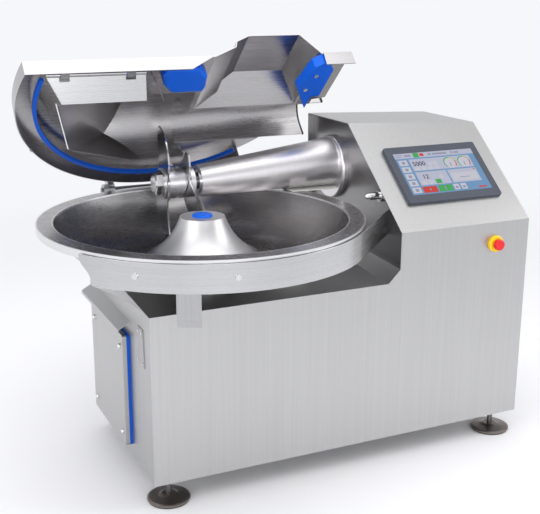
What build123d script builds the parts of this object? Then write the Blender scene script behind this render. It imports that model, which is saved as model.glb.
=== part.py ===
"""Meat bowl cutter: a turning bowl carries the meat through knives on a fast cross shaft.

Frame: millimetres, +Z up, +X along the front from the bowl to the control console, +Y to the
back.  The origin is on the floor, at the middle of the front left levelling foot.
"""
from build123d import *
from math import atan2, cos, degrees, hypot, radians, sin, sqrt, tan
import os

os.makedirs("parts", exist_ok=True)

# ---------------------------------------------------------------- cabinet
cabinet_w = 1460            # left face to right face
cabinet_d = 720             # front sheet to back sheet
underside = 88              # floor to the cabinet's bottom edge
sheet = 3                   # stainless sheet of cabinet and lid
foot_inset_x = 68           # foot centre in from the side face
foot_inset_y = 61           # foot centre in from the front and back faces
rear_foot_inset_x = 136     # the rear feet stand further in
tray_front_z = 673          # top of the front sheet under the bowl
tray_rise = 42              # the tray climbs this much towards the back
console_w = 524             # inner wall to the right face, wide enough for the knife motor
edge_overhang = 22          # outer sheets stand past the inner wall
edge_corner = 46            # chamfer where the front sheet turns up to the console
console_front_z = 850       # where the console's slope starts
console_top_z = 1177        # console's top at its left edge
console_fall = 22           # the top drops this much to the right, to shed water
slope_angle = 39.5          # of the screen face, from the level
bottom_plate_t = 4

left = -foot_inset_x
front = -foot_inset_y
right = left + cabinet_w
back = front + cabinet_d
wall_x = right - console_w
edge_x = wall_x - edge_overhang
tray_back_z = tray_front_z + tray_rise

# ---------------------------------------------------------------- feet
foot_pad_r = 70
foot_pad_t = 5
foot_disc_r = 73
foot_disc_t = 9
foot_boss_r = 24
foot_stem_r = 10
foot_stem_reach = 34        # stem above the bottom plate
foot_nut_af = 32
foot_nut_t = 12

# ---------------------------------------------------------------- bowl
bowl_from_wall = 653        # bowl axis to the console's inner wall
bowl_from_front = 266
rim_z = 915
rim_r = 553
rim_land = 56               # flat rim from the trough's edge to the rim's
opening_r = rim_r - rim_land
hub_r = 77
trough_depth = 154
bowl_wall = 4
rim_lip = 26
boss_r = 56
boss_low_z = 762
cap_r = 35
cap_t = 7
cap_stem_r = 14

bowl_x = wall_x - bowl_from_wall
bowl_y = front + bowl_from_front
trough_mid_r = (hub_r + opening_r) / 2
trough_half = (opening_r - hub_r) / 2
trough_r = (trough_half ** 2 + trough_depth ** 2) / (2 * trough_depth)
trough_mid_z = rim_z - trough_depth + trough_r

# ---------------------------------------------------------------- bowl drive
spindle_r = 22
spindle_low_z = 432
spindle_flange_r = 68
spindle_flange_t = 16
running_gap = 0.05          # radial clearance of a shaft in its bearing or seal
side_gap = 1                # clearance beside a moving piece
spindle_housing_r = 62
spindle_housing_low_z = 500
spindle_pad_r = 104
spindle_pad_z = 702         # level seat welded into the sloping tray
housing_flange_t = 12
bearing_r = 45
bearing_w = 24
seal_t = 8
bowl_pulley_r = 110
bowl_pulley_t = 30
bowl_pulley_z = 440
gear_from_bowl = 330        # gearmotor's output beside the spindle
gear_pulley_r = 55
gear_shaft_r = 16
gear_plate_z = 412
gear_plate_w = 220
gear_plate_t = 8
gear_box_w = 150
gear_box_h = 120
gear_motor_r = 65
gear_motor_h = 150
belt_gap = 0.3
flat_belt_t = 6
flat_belt_w = 22

# ---------------------------------------------------------------- knife shaft
shaft_from_front = 548
shaft_z = 978
shaft_r = 30
knife_seat_r = 27
shaft_tip_reach = 79        # shaft's tip past the bowl's axis
knife_first_reach = 45      # first knife past the bowl's axis
knife_r = 208
knife_t = 5
knife_shim = 0.4            # between the two knives of a pair
knife_hub_r = 47
knife_pitch = 42            # from one pair of knives to the next
knife_pairs = 3
clamp_ring_r = 57
nut_af = 72
nut_t = 24
nut_face_r = 50
nut_face_t = 5
nose_from_bowl = 89         # housing's nose on the console's side of the bowl's axis
nose_r = 58
nose_ring_t = 8
root_r = 92
housing_clear = 5           # housing's underline above the rim
housing_bore_r = 45
flange_r = 122
flange_t = edge_overhang
flange_rise = 12            # flange centre above the shaft line
rear_sleeve_l = 64
rear_sleeve_r = 74
knife_pulley_from_wall = 92
knife_pulley_r = 72
knife_pulley_w = 80
shaft_end_from_wall = 186

shaft_y = front + shaft_from_front
nose_x = bowl_x + nose_from_bowl
tip_x = bowl_x - shaft_tip_reach
knife_x = bowl_x - knife_first_reach
flange_x = wall_x - flange_t
nose_z = rim_z + housing_clear + nose_r
root_z = rim_z + housing_clear + root_r

# ---------------------------------------------------------------- knife motor
motor_z = 330
motor_from_front = 400
motor_r = 125
motor_l = 300
motor_fin_r = 139
motor_fin_t = 5
motor_fins = 9
motor_shaft_r = 24
motor_pulley_r = 104
motor_base_w = 230
motor_base_h = 40
vee_belt_t = 9

motor_y = front + motor_from_front
pulley_x = wall_x + knife_pulley_from_wall
motor_x = pulley_x + knife_pulley_w + 40

# ---------------------------------------------------------------- bowl guard
guard_gap = 4               # guard's inside to the rim
guard_t = 3
guard_low_z = 816
guard_top_z = 905
guard_start = 208           # degrees, left end of the round stretch at its top
gusset_start = 213          # degrees, left end of the guard's lower edge
guard_end = -45             # degrees, where the straight wing leaves it
gusset_end = 225            # degrees, where the left gusset meets the guard
guard_bolt_angles = (-131.4, -100.5)
guard_bolt_z = 863
guard_bolt_r = 9
guard_bolt_h = 5
guard_in_r = rim_r + guard_gap

# ---------------------------------------------------------------- lid
lid_open = 42.4             # stored open by this many degrees
hinge_from_lid = 21         # hinge axis behind the lid's edge
hinge_z = 904
lid_overhang = 17           # lid's edge past the bowl's rim
lid_front_y = -133          # the lid stops here, in front of the hub
lid_h = 52
lid_front_right = 618       # front plate's right end from the bowl's axis
wing_back_y = 133
wing_corner_x = 565
ring_wall_inset = 7         # gasket's wall outside the bowl's opening
ring_wall_low = 14
gasket_w = 13
gasket_h = 14
gasket_lift = 2             # gasket above the rim when shut
gasket_start = 52           # degrees round the bowl's axis
gasket_end = 191

lid_r = rim_r + lid_overhang
ring_wall_r = opening_r + ring_wall_inset
hinge_y = bowl_y + lid_r + hinge_from_lid

# ---------------------------------------------------------------- helpers


def front_plane(y):
    """Sketch x is X and sketch y is Z; a positive extrusion goes towards the front."""
    return Plane(origin=(0, y, 0), x_dir=(1, 0, 0), z_dir=(0, -1, 0))


def side_plane(x, y=0, z=0, turn=0):
    """Sketch x is Y and sketch y is Z, turned about X; a positive extrusion goes to the right."""
    return Plane(origin=(x, y, z), x_dir=(0, cos(radians(turn)), sin(radians(turn))), z_dir=(1, 0, 0))


def bowl_section(angle=0):
    """Section through the bowl's axis: sketch x is the radius, sketch y is Z."""
    turn = radians(angle)
    return Plane(origin=(bowl_x, bowl_y, 0), x_dir=(cos(turn), sin(turn), 0),
                 z_dir=(sin(turn), -cos(turn), 0))


bowl_axis = Axis((bowl_x, bowl_y, 0), (0, 0, 1))
shaft_axis = Axis((0, shaft_y, shaft_z), (1, 0, 0))
shaft_section = Plane(origin=(0, shaft_y, shaft_z), x_dir=(1, 0, 0), z_dir=(0, -1, 0))


def save(piece, name):
    """Label a finished piece and write it to its own file."""
    piece.part.label = name
    export_step(piece.part, f"parts/{name}.step")


def group(*pieces):
    """Pieces of one kind, or pieces welded to each other, as one node."""
    with BuildPart() as joined:
        for piece in pieces:
            add(piece.part)
    return joined


def polygon(points, mode=Mode.ADD):
    """Closed face from its corners, in the sketch that is being built."""
    Polygon(*points, align=None, mode=mode)


def rings_on_axis(spans, inner, plane, axis):
    """Revolved rings, each given as (start, end, outer radius), round a shaft along sketch x."""
    with BuildPart() as rings:
        with BuildSketch(plane):
            for start, end, outer in spans:
                polygon([(start, inner), (end, inner), (end, outer), (start, outer)])
        revolve(axis=axis)
    return rings


# ---------------------------------------------------------------- cabinet pieces
slope_run = (console_top_z - console_front_z) / tan(radians(slope_angle))
console_right_fall = console_fall * (right - wall_x) / (right - edge_x)
top_plane = Plane(origin=(wall_x, 0, console_top_z),
                  x_dir=(right - wall_x, 0, -console_right_fall),
                  z_dir=(console_right_fall, 0, right - wall_x))
console_profile = [(front, underside), (front, console_front_z),
                   (front + slope_run, console_top_z), (back, console_top_z), (back, underside)]
edge_profile = [(front, tray_front_z - sheet), (front, console_front_z),
                (front + slope_run, console_top_z), (back, console_top_z),
                (back, tray_back_z - sheet)]

hatch_y = 230               # hatch on the left face, from the front sheet
hatch_w = 385
hatch_low_z = 135
hatch_h = 405
hatch_t = 14
hatch_gasket_t = 10
hatch_gasket_w = 16
hatch_lap = 22              # hatch past its opening all round
rear_margin_x = 60
rear_low_z = 150
rear_high_z = 1080
rear_lap = 25
rear_cover_depth = 25
estop_from_right = 148
estop_z = 771
estop_stem_r = 11
estop_x = right - estop_from_right
probe_from_front = 175
probe_z = 948
probe_r = 13.5
probe_y = front + probe_from_front

with BuildPart() as cabinet:
    with BuildSketch(side_plane(left)):
        polygon([(front, underside), (front, tray_front_z), (back, tray_back_z), (back, underside)])
    extrude(amount=wall_x - left)
    with BuildSketch(side_plane(wall_x)):
        polygon(console_profile)
    extrude(amount=right - wall_x)
    split(bisect_by=top_plane, keep=Keep.BOTTOM)
    offset(amount=-sheet, openings=cabinet.faces().sort_by(Axis.Z)[0])
    # outer sheets of the console run on past the inner wall
    with BuildSketch(side_plane(edge_x)):
        polygon(edge_profile)
        offset(amount=-sheet, mode=Mode.SUBTRACT)
    extrude(amount=edge_overhang)
    with BuildSketch(front_plane(front)):
        polygon([(edge_x - edge_corner, tray_front_z - sheet), (edge_x, tray_front_z + edge_corner),
                 (wall_x, tray_front_z + edge_corner), (wall_x, tray_front_z - sheet)])
    extrude(amount=-sheet)
    # inclined face along the console, in line with the front sheet's corner
    with BuildSketch(front_plane(front)):
        with BuildLine():
            Polyline((edge_x - edge_corner, tray_front_z), (edge_x, tray_front_z + edge_corner),
                     (wall_x, tray_front_z + edge_corner))
            offset(amount=sheet, side=Side.RIGHT)
        make_face()
    extrude(amount=hypot(cabinet_d, tray_rise), dir=(0, cabinet_d, tray_rise))
    # level seat for the bowl spindle
    with BuildSketch(Plane.XY.offset(tray_front_z)):
        with Locations((bowl_x, bowl_y)):
            Circle(spindle_pad_r)
    extrude(amount=spindle_pad_z - tray_front_z)
    with BuildSketch(Plane.XY.offset(underside)):
        with Locations((bowl_x, bowl_y)):
            Circle(spindle_housing_r)
    extrude(amount=spindle_pad_z - underside, mode=Mode.SUBTRACT)
    with BuildSketch(side_plane(wall_x, shaft_y, shaft_z)):
        Circle(housing_bore_r)
    extrude(amount=sheet, mode=Mode.SUBTRACT)
    with BuildSketch(side_plane(wall_x, probe_y, probe_z)):
        Circle(probe_r / 2)
    extrude(amount=sheet, mode=Mode.SUBTRACT)
    with BuildSketch(front_plane(front)):
        with Locations((estop_x, estop_z)):
            Circle(estop_stem_r + side_gap)
    extrude(amount=-sheet, mode=Mode.SUBTRACT)
    with BuildSketch(side_plane(left)):
        polygon([(front + hatch_y + hatch_lap, hatch_low_z + hatch_lap),
                 (front + hatch_y + hatch_w - hatch_lap, hatch_low_z + hatch_lap),
                 (front + hatch_y + hatch_w - hatch_lap, hatch_low_z + hatch_h - hatch_lap),
                 (front + hatch_y + hatch_lap, hatch_low_z + hatch_h - hatch_lap)])
    extrude(amount=sheet, mode=Mode.SUBTRACT)
    with BuildSketch(front_plane(back)):
        polygon([(wall_x + rear_margin_x, rear_low_z), (right - rear_margin_x, rear_low_z),
                 (right - rear_margin_x, rear_high_z), (wall_x + rear_margin_x, rear_high_z)])
    extrude(amount=sheet, mode=Mode.SUBTRACT)
save(cabinet, "cabinet_shell")

foot_pitch_x = cabinet_w - 2 * foot_inset_x
foot_pitch_y = cabinet_d - 2 * foot_inset_y
rear_left_x = left + rear_foot_inset_x
rear_right_x = right - rear_foot_inset_x
foot_spots = [(0, 0), (foot_pitch_x, 0), (rear_left_x, foot_pitch_y), (rear_right_x, foot_pitch_y)]

with BuildPart() as bottom_plate:
    with BuildSketch(Plane.XY.offset(underside)):
        with Locations(((left + right) / 2, (front + back) / 2)):
            Rectangle(cabinet_w - 2 * sheet, cabinet_d - 2 * sheet)
        with Locations(*foot_spots):
            Circle(foot_stem_r, mode=Mode.SUBTRACT)
    extrude(amount=bottom_plate_t)


def foot_profile_part(points):
    """The same revolved piece at each of the four feet."""
    with BuildPart() as pieces:
        for x, y in foot_spots:
            with BuildSketch(Plane(origin=(x, y, 0), x_dir=(1, 0, 0), z_dir=(0, -1, 0))):
                polygon(points)
            revolve(axis=Axis((x, y, 0), (0, 0, 1)))
    return pieces


save(foot_profile_part([(0, 0), (foot_pad_r, 0), (foot_pad_r, foot_pad_t), (0, foot_pad_t)]),
     "foot_pads")
disc_top = foot_pad_t + foot_disc_t
save(foot_profile_part([(0, foot_pad_t), (foot_disc_r, foot_pad_t),
                        (foot_disc_r, disc_top - foot_disc_t / 3), (foot_disc_r - 6, disc_top),
                        (foot_boss_r + 12, disc_top + 4), (foot_boss_r, disc_top + foot_disc_t),
                        (0, disc_top + foot_disc_t)]), "foot_discs")
stem_low = disc_top + foot_disc_t
with BuildPart() as foot_stems:
    with BuildSketch(Plane.XY.offset(stem_low)):
        with Locations(*foot_spots):
            Circle(foot_stem_r)
    extrude(amount=underside + bottom_plate_t + foot_stem_reach - stem_low)
    for low in (underside - foot_nut_t, underside + bottom_plate_t):
        with BuildSketch(Plane.XY.offset(low)):
            with Locations(*foot_spots):
                RegularPolygon(foot_nut_af / 2, 6, major_radius=False)
        extrude(amount=foot_nut_t)
save(foot_stems, "foot_stems")

# ---------------------------------------------------------------- left face: hatch, hood, plate


def left_rect(x, y, z, w, h, t, frame=0):
    """Upright plate on the left face, its outer side at x, open in the middle if frame is given."""
    with BuildPart() as plate:
        with BuildSketch(side_plane(x, y + w / 2, z + h / 2)):
            RectangleRounded(w, h, 12)
            if frame:
                Rectangle(w - 2 * frame, h - 2 * frame, mode=Mode.SUBTRACT)
        extrude(amount=t)
    return plate


hatch_in = left - hatch_gasket_t
save(left_rect(hatch_in, front + hatch_y, hatch_low_z, hatch_w, hatch_h, hatch_gasket_t,
               hatch_gasket_w), "hatch_gasket")
save(left_rect(hatch_in - hatch_t, front + hatch_y, hatch_low_z, hatch_w, hatch_h, hatch_t),
     "hatch_panel")
hatch_nut_r = 9
hatch_nut_h = 9
nut_inset_y = 30
nut_inset_z = 45
with BuildPart() as hatch_nuts:
    with BuildSketch(side_plane(hatch_in - hatch_t, front + hatch_y + hatch_w / 2,
                                hatch_low_z + hatch_h / 2)):
        with GridLocations(hatch_w - 2 * nut_inset_y, hatch_h - 2 * nut_inset_z, 2, 2):
            Circle(hatch_nut_r)
    extrude(amount=-hatch_nut_h)
    fillet(hatch_nuts.faces().sort_by(Axis.X)[:4].edges(), hatch_nut_r * 0.6)

hood_top_z = 597
hood_low_z = 572
hood_reach = 44
hood_y = 207
hood_w = 474
hood_lip = 12
with BuildPart() as side_hood:
    with BuildSketch(front_plane(front + hood_y)):
        polygon([(left, hood_top_z), (left - hood_reach, hood_low_z),
                 (left - hood_reach, hood_low_z - hood_lip),
                 (left - hood_reach + sheet, hood_low_z - hood_lip),
                 (left - hood_reach + sheet, hood_low_z - 1), (left, hood_top_z - 4)])
    extrude(amount=-hood_w)
save(side_hood, "side_hood")

plate_y = front + 60
with BuildPart() as side_plate:
    with BuildSketch(side_plane(left)):
        polygon([(plate_y, 480), (plate_y + 8, 610), (plate_y + 62, 610), (plate_y + 62, 540),
                 (plate_y + 76, 520), (plate_y + 76, 480)])
    extrude(amount=-sheet)
save(side_plate, "side_plate")
plate_screw_r = 5
with BuildPart() as side_plate_screws:
    with BuildSketch(side_plane(left - sheet)):
        with Locations((plate_y + 16, 598), (plate_y + 50, 598), (plate_y + 14, 492), (plate_y + 62, 492)):
            Circle(plate_screw_r)
    extrude(amount=-3)

# ---------------------------------------------------------------- rear cover
rear_w = right - wall_x - 2 * rear_margin_x + 2 * rear_lap
rear_h = rear_high_z - rear_low_z + 2 * rear_lap
rear_mid_x = (wall_x + right) / 2
rear_mid_z = (rear_low_z + rear_high_z) / 2
vent_w = 240
vent_h = 8
vent_pitch = 26
vent_count = 6
vent_z = 320
with BuildPart() as rear_cover:
    with BuildSketch(front_plane(back)):
        with Locations((rear_mid_x, rear_mid_z)):
            Rectangle(rear_w, rear_h)
    extrude(amount=-rear_cover_depth)
    offset(amount=-sheet, openings=rear_cover.faces().sort_by(Axis.Y)[0])
    with BuildSketch(front_plane(back + rear_cover_depth - sheet)):
        with Locations((rear_mid_x, vent_z)):
            with GridLocations(0, vent_pitch, 1, vent_count):
                SlotOverall(vent_w, vent_h)
    extrude(amount=-sheet, mode=Mode.SUBTRACT)
save(rear_cover, "rear_cover")

cover_screw_r = 7
with BuildPart() as rear_cover_screws:
    with BuildSketch(front_plane(back + rear_cover_depth)):
        with Locations((rear_mid_x, rear_mid_z)):
            with GridLocations(rear_w - 40, (rear_h - 40) / 3, 2, 4):
                Circle(cover_screw_r)
    extrude(amount=-5)

# ---------------------------------------------------------------- screen and stop button
screen_w = 400
screen_h = 260
screen_t = 14
screen_from_wall = 58
screen_up_slope = 112
display_w = 344
display_h = 194
display_drop = 1.5
slope_plane = Plane(origin=(wall_x + screen_from_wall, front, console_front_z), x_dir=(1, 0, 0),
                    z_dir=(0, -sin(radians(slope_angle)), cos(radians(slope_angle))))
screen_middle = (screen_w / 2, screen_up_slope + screen_h / 2)
with BuildPart() as screen_frame:
    with BuildSketch(slope_plane):
        with Locations(screen_middle):
            RectangleRounded(screen_w, screen_h, 9)
    extrude(amount=screen_t)
    slope_normal = Axis(slope_plane.origin, slope_plane.z_dir)
    fillet(screen_frame.faces().sort_by(slope_normal)[-1].edges(), 3)
    with BuildSketch(slope_plane.offset(screen_t - display_drop)):
        with Locations(screen_middle):
            Rectangle(display_w, display_h)
    extrude(amount=display_drop, mode=Mode.SUBTRACT)
save(screen_frame, "screen_frame")
with BuildPart() as display:
    with BuildSketch(slope_plane.offset(screen_t - display_drop)):
        with Locations(screen_middle):
            Rectangle(display_w, display_h)
    extrude(amount=display_drop / 2)
save(display, "screen_display")

estop_collar_r = 30
estop_collar_t = 14
estop_head_r = 20
estop_head_t = 16
estop_gap = 6
with BuildPart() as estop_collar:
    with BuildSketch(front_plane(front)):
        with Locations((estop_x, estop_z)):
            Circle(estop_collar_r)
            Circle(estop_stem_r + running_gap, mode=Mode.SUBTRACT)
    extrude(amount=estop_collar_t)
    chamfer(estop_collar.faces().sort_by(Axis.Y)[0].edges().sort_by(Edge.length)[-1:], 4)
save(estop_collar, "estop_collar")
head_y = front - estop_collar_t - estop_gap
with BuildPart() as estop_button:
    with BuildSketch(front_plane(head_y)):
        with Locations((estop_x, estop_z)):
            Circle(estop_head_r)
    extrude(amount=estop_head_t)
    fillet(estop_button.edges().sort_by(Axis.Y)[0], 6)
    with BuildSketch(front_plane(head_y)):
        with Locations((estop_x, estop_z)):
            Circle(estop_stem_r)
    extrude(amount=-(estop_gap + estop_collar_t + 30))
save(estop_button, "estop_button")

# ---------------------------------------------------------------- probe on the inner wall
probe_l = 70
probe_tip_l = 16
probe_section = Plane(origin=(0, probe_y, probe_z), x_dir=(1, 0, 0), z_dir=(0, -1, 0))
probe_axis = Axis((0, probe_y, probe_z), (1, 0, 0))
save(rings_on_axis([(wall_x - 14, wall_x, probe_r * 1.7), (wall_x - probe_l + probe_tip_l, wall_x - 14, probe_r)],
                   0, probe_section, probe_axis), "probe_body")
with BuildPart() as probe_tip:
    with BuildSketch(probe_section):
        tip_root = wall_x - probe_l + probe_tip_l
        polygon([(tip_root, 0), (tip_root, probe_r * 0.8), (tip_root - probe_tip_l * 0.6, probe_r * 0.7),
                 (tip_root - probe_tip_l, probe_r * 0.3), (tip_root - probe_tip_l, 0)])
    revolve(axis=probe_axis)
save(probe_tip, "probe_tip")

# ---------------------------------------------------------------- bowl
plate_under_z = rim_z - 12
lip_z = rim_z - rim_lip
with BuildPart() as bowl:
    with BuildSketch(bowl_section()):
        with BuildLine():
            ThreePointArc((hub_r, rim_z), (trough_mid_r, rim_z - trough_depth), (opening_r, rim_z))
            outer_r = trough_r + bowl_wall
            rise = trough_mid_z - (rim_z - bowl_wall)
            rim_root = trough_mid_r + sqrt(outer_r ** 2 - rise ** 2)
            boss_root_z = trough_mid_z - sqrt(outer_r ** 2 - (trough_mid_r - hub_r) ** 2)
            Polyline((opening_r, rim_z), (rim_r, rim_z), (rim_r, lip_z), (rim_r - bowl_wall, lip_z),
                     (rim_r - bowl_wall, rim_z - bowl_wall), (rim_root, rim_z - bowl_wall))
            ThreePointArc((rim_root, rim_z - bowl_wall), (trough_mid_r, rim_z - trough_depth - bowl_wall),
                          (hub_r, boss_root_z))
            Polyline((hub_r, boss_root_z), (boss_r, boss_root_z), (boss_r, boss_low_z),
                     (spindle_r, boss_low_z), (spindle_r, plate_under_z), (cap_stem_r, plate_under_z),
                     (cap_stem_r, rim_z), (hub_r, rim_z))
        make_face()
    revolve(axis=bowl_axis)
save(bowl, "bowl")

with BuildPart() as bowl_cap:
    with BuildSketch(bowl_section()):
        polygon([(0, plate_under_z), (cap_stem_r, plate_under_z), (cap_stem_r, rim_z), (cap_r, rim_z),
                 (cap_r, rim_z + cap_t / 2), (cap_r - 4, rim_z + cap_t), (0, rim_z + cap_t)])
    revolve(axis=bowl_axis)
save(bowl_cap, "bowl_cap")

flange_low = boss_low_z - spindle_flange_t
with BuildPart() as spindle:
    with BuildSketch(bowl_section()):
        polygon([(0, spindle_low_z), (spindle_r, spindle_low_z), (spindle_r, flange_low),
                 (spindle_flange_r, flange_low), (spindle_flange_r, boss_low_z),
                 (spindle_r, boss_low_z), (spindle_r, plate_under_z), (0, plate_under_z)])
    revolve(axis=bowl_axis)
save(spindle, "bowl_spindle")

housing_top_z = spindle_pad_z + housing_flange_t
vertical_section = bowl_section()
with BuildPart() as spindle_housing:
    with BuildSketch(vertical_section):
        polygon([(bearing_r, spindle_housing_low_z), (spindle_housing_r, spindle_housing_low_z),
                 (spindle_housing_r, spindle_pad_z), (spindle_pad_r - 8, spindle_pad_z),
                 (spindle_pad_r - 8, housing_top_z), (bearing_r, housing_top_z)])
    revolve(axis=bowl_axis)
save(spindle_housing, "spindle_housing")

with BuildPart() as spindle_bearings:
    for low in (spindle_housing_low_z, housing_top_z - seal_t - bearing_w):
        with BuildSketch(Plane.XY.offset(low)):
            with Locations((bowl_x, bowl_y)):
                Circle(bearing_r)
                Circle(spindle_r + running_gap, mode=Mode.SUBTRACT)
        extrude(amount=bearing_w)
with BuildPart() as spindle_seal:
    with BuildSketch(Plane.XY.offset(housing_top_z - seal_t)):
        with Locations((bowl_x, bowl_y)):
            Circle(bearing_r)
            Circle(spindle_r + running_gap, mode=Mode.SUBTRACT)
    extrude(amount=seal_t)

with BuildPart() as housing_bolts:
    with BuildSketch(Plane.XY.offset(housing_top_z)):
        with Locations((bowl_x, bowl_y)):
            with PolarLocations((spindle_pad_r - 8 + bearing_r) / 2 + 6, 6):
                RegularPolygon(8, 6)
    extrude(amount=7)

# ---------------------------------------------------------------- bowl drive
gear_x = bowl_x + gear_from_bowl


def disc(x, y, low, height, outer, inner=0):
    """Upright disc or ring."""
    with BuildPart() as piece:
        with BuildSketch(Plane.XY.offset(low)):
            with Locations((x, y)):
                Circle(outer)
                if inner:
                    Circle(inner, mode=Mode.SUBTRACT)
        extrude(amount=height)
    return piece


def belt_loop(plane, first, first_r, second, second_r, thickness, width):
    """Belt round two pulleys: straight runs tangent to both, one closed loop."""
    with BuildPart() as belt:
        with BuildSketch(plane):
            for grow, mode in ((thickness, Mode.ADD), (0, Mode.SUBTRACT)):
                with BuildSketch(mode=Mode.PRIVATE) as loop:
                    with Locations(first):
                        Circle(first_r + belt_gap + grow)
                    with Locations(second):
                        Circle(second_r + belt_gap + grow)
                    make_hull()
                add(loop.sketch, mode=mode)
        extrude(amount=width)
    return belt


save(disc(bowl_x, bowl_y, bowl_pulley_z, bowl_pulley_t, bowl_pulley_r, spindle_r), "bowl_pulley")
flat_low = bowl_pulley_z + (bowl_pulley_t - flat_belt_w) / 2
save(belt_loop(Plane.XY.offset(flat_low), (bowl_x, bowl_y), bowl_pulley_r, (gear_x, bowl_y),
               gear_pulley_r, flat_belt_t, flat_belt_w), "bowl_belt")
gear_box_top = gear_plate_z - gear_plate_t
shaft_seat_z = gear_box_top - 20
save(group(disc(gear_x, bowl_y, bowl_pulley_z, bowl_pulley_t, gear_pulley_r),
           disc(gear_x, bowl_y, shaft_seat_z, bowl_pulley_z - shaft_seat_z, gear_shaft_r)),
     "gearmotor_output")
with BuildPart() as gearmotor:
    with BuildSketch(Plane.XY.offset(gear_box_top)):
        with Locations((gear_x, bowl_y)):
            RectangleRounded(gear_box_w, gear_box_w, 12)
    extrude(amount=-gear_box_h)
    with BuildSketch(Plane.XY.offset(gear_box_top - gear_box_h)):
        with Locations((gear_x, bowl_y)):
            Circle(gear_motor_r)
    extrude(amount=-gear_motor_h)
    with BuildSketch(Plane.XY.offset(gear_box_top)):
        with Locations((gear_x, bowl_y)):
            Circle(gear_shaft_r + running_gap)
    extrude(amount=-(gear_box_top - shaft_seat_z), mode=Mode.SUBTRACT)
save(gearmotor, "bowl_gearmotor")
with BuildPart() as gear_stand:
    with BuildSketch(front_plane(bowl_y + gear_plate_w / 2)):
        stand_low = underside + bottom_plate_t
        with Locations((gear_x, (gear_plate_z + stand_low) / 2)):
            Rectangle(gear_plate_w, gear_plate_z - stand_low)
        with Locations((gear_x, (gear_plate_z - gear_plate_t + stand_low) / 2)):
            Rectangle(gear_plate_w - 2 * gear_plate_t, gear_plate_z - gear_plate_t - stand_low,
                      mode=Mode.SUBTRACT)
    extrude(amount=gear_plate_w)
    with BuildSketch(Plane.XY.offset(gear_box_top)):
        with Locations((gear_x, bowl_y)):
            Circle(gear_shaft_r + side_gap)
    extrude(amount=gear_plate_t, mode=Mode.SUBTRACT)

# ---------------------------------------------------------------- knife shaft
shaft_end_x = wall_x + shaft_end_from_wall
pair_t = 2 * knife_t + knife_shim
head_end_x = knife_x + knife_pitch * (knife_pairs - 1) + pair_t
seat_end_x = head_end_x + (nose_x - nose_ring_t - head_end_x) / 2
nut_end_x = tip_x + nut_t + nut_face_t
with BuildPart() as knife_shaft:
    with BuildSketch(shaft_section):
        polygon([(tip_x + 4, 0), (tip_x + 4, knife_seat_r - 5), (nut_end_x, knife_seat_r - 5),
                 (nut_end_x, knife_seat_r), (seat_end_x, knife_seat_r), (seat_end_x, shaft_r),
                 (shaft_end_x, shaft_r), (shaft_end_x, 0)])
    revolve(axis=shaft_axis)
save(knife_shaft, "knife_shaft")

with BuildPart() as knife_nut:
    with BuildSketch(side_plane(tip_x, shaft_y, shaft_z)):
        RegularPolygon(nut_af / 2, 6, major_radius=False)
    extrude(amount=nut_t)
    with BuildSketch(shaft_section):
        polygon([(tip_x, 0), (tip_x, nut_af / 2 - 4), (tip_x + 9, nut_af / 2 + 8),
                 (tip_x + nut_t, nut_af / 2 + 8), (tip_x + nut_t, 0)])
    revolve(axis=shaft_axis, mode=Mode.INTERSECT)
    with BuildSketch(side_plane(tip_x + nut_t, shaft_y, shaft_z)):
        Circle(nut_face_r)
    extrude(amount=nut_face_t)
    with BuildSketch(side_plane(tip_x + 4, shaft_y, shaft_z)):
        Circle(knife_seat_r - 5)
    extrude(amount=nut_t + nut_face_t, mode=Mode.SUBTRACT)
save(knife_nut, "knife_nut")


def polar(radius, angle):
    """Point from its distance and angle in degrees."""
    return (radius * cos(radians(angle)), radius * sin(radians(angle)))


def knife_outline():
    """Sickle blade: convex cutting edge sweeping out to the tip, hollow back, hub ring."""
    with BuildSketch() as outline:
        with BuildLine():
            tip = polar(knife_r, 82)
            heel = polar(knife_r * 0.9, 75)
            edge_root = polar(knife_hub_r * 0.97, 176)
            back_root = polar(knife_hub_r * 0.97, 4)
            ThreePointArc(edge_root, polar(knife_r * 0.66, 118), tip)
            Line(tip, heel)
            ThreePointArc(heel, polar(knife_r * 0.5, 72), back_root)
            Line(back_root, edge_root)
        make_face()
        Circle(knife_hub_r)
        Circle(knife_seat_r, mode=Mode.SUBTRACT)
    return outline.sketch


pair_turns = (0, 60, 120)
blade = knife_outline()
with BuildPart() as knives:
    for number, pair_turn in enumerate(pair_turns):
        for side in range(2):
            blade_x = knife_x + number * knife_pitch + side * (knife_t + knife_shim)
            with BuildSketch(side_plane(blade_x, shaft_y, shaft_z, pair_turn + 180 * side)):
                add(blade)
            extrude(amount=knife_t)
save(knives, "knives")

ring_spans = [(nut_end_x, knife_x, clamp_ring_r)]
for gap in range(knife_pairs - 1):
    gap_start = knife_x + gap * knife_pitch + pair_t
    ring_spans.append((gap_start, gap_start + knife_pitch - pair_t, clamp_ring_r))
ring_spans.append((head_end_x, seat_end_x, clamp_ring_r))
save(rings_on_axis(ring_spans, knife_seat_r, shaft_section, shaft_axis), "knife_clamp_rings")

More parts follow.
